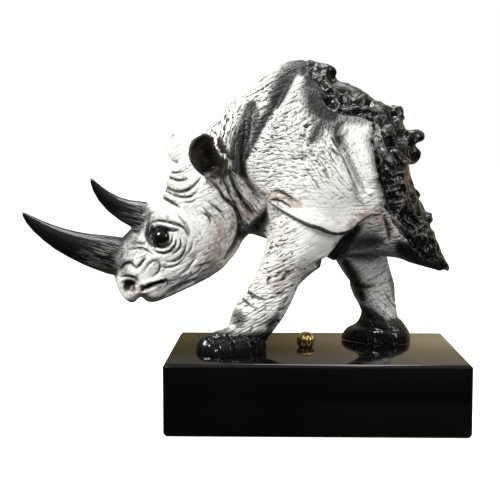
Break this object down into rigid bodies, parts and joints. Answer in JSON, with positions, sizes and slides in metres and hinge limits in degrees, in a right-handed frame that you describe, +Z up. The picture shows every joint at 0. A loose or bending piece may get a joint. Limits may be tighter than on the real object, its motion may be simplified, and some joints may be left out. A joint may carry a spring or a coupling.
{
  "type": "rhinoceros figurine",
  "caption": "Glazed porcelain figurine of the charging front half of a rhinoceros with a torn black edge, standing on a black block plinth with a small brass stud.",
  "frame": {"origin": "centre of the plinth's underside, on the surface that the object stands on", "axes": "+Z up, -X the way the rhinoceros charges, -Y its left side, which faces the viewer"},
  "size_m": [0.4423, 0.2, 0.3733],
  "materials": {
    "glazed_porcelain": "glazed porcelain, white with a black wash in the creases, black horns, hooves and torn edge",
    "black_lacquer": "polished black lacquer on wood",
    "polished_brass": "polished"
  },
  "bodies": {
    "root": {"rhinoceros": "glazed_porcelain", "plinth": "black_lacquer", "brass_stud": "polished_brass"}
  },
  "joints": []
}
